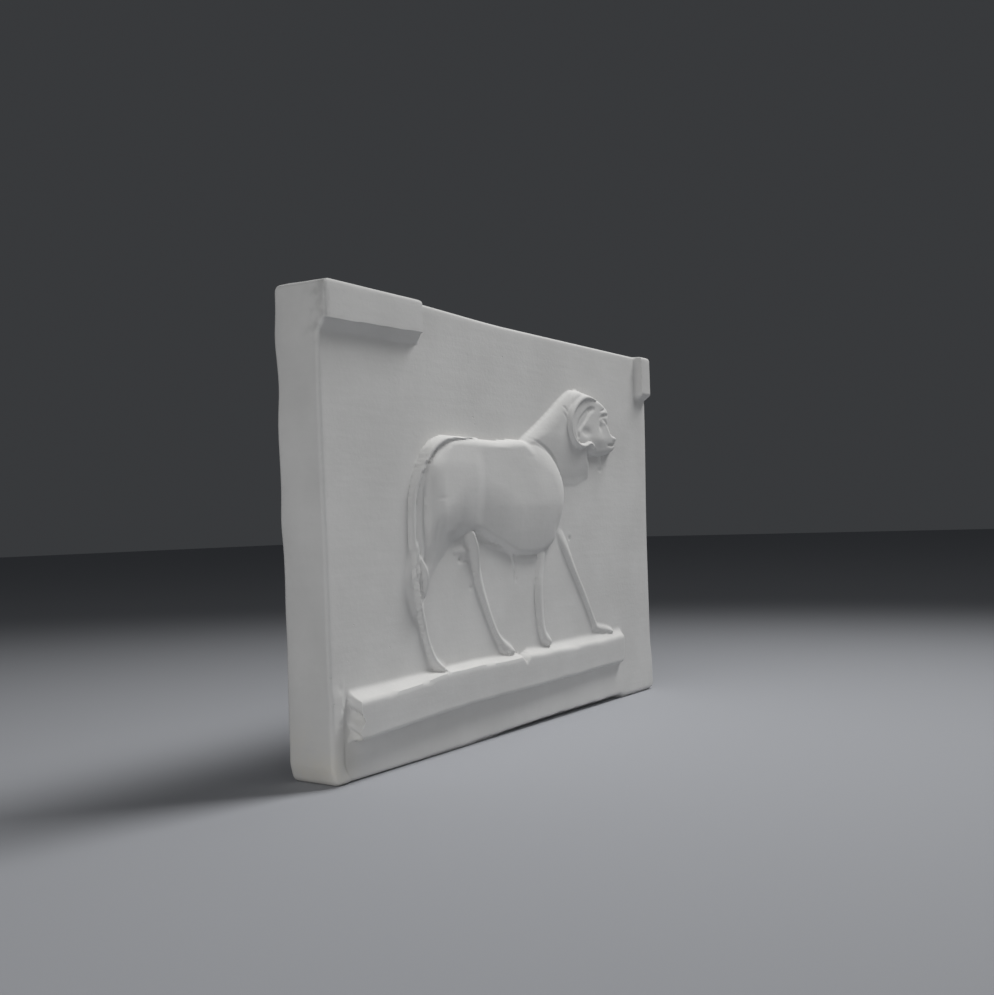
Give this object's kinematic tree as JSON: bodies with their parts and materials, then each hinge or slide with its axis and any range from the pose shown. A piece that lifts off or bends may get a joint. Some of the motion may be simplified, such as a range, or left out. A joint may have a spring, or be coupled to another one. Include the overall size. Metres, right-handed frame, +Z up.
{
  "type": "plaster relief plaque",
  "caption": "Upright plaster slab with a low relief of a ram walking along a raised ground line, frame pieces at its top corners.",
  "frame": {"origin": "centre of the bounding box in plan, at the height of the underside that the slab stands on", "axes": "+Z up, +X along the slab's width, the way that the ram walks, and the relief faces -Y"},
  "size_m": [0.2012, 0.022, 0.1408],
  "materials": {
    "plaster": "matt cast gypsum plaster, off-white, with fine pits and brush marks"
  },
  "bodies": {
    "root": {"plaster_relief": "plaster"}
  },
  "joints": []
}
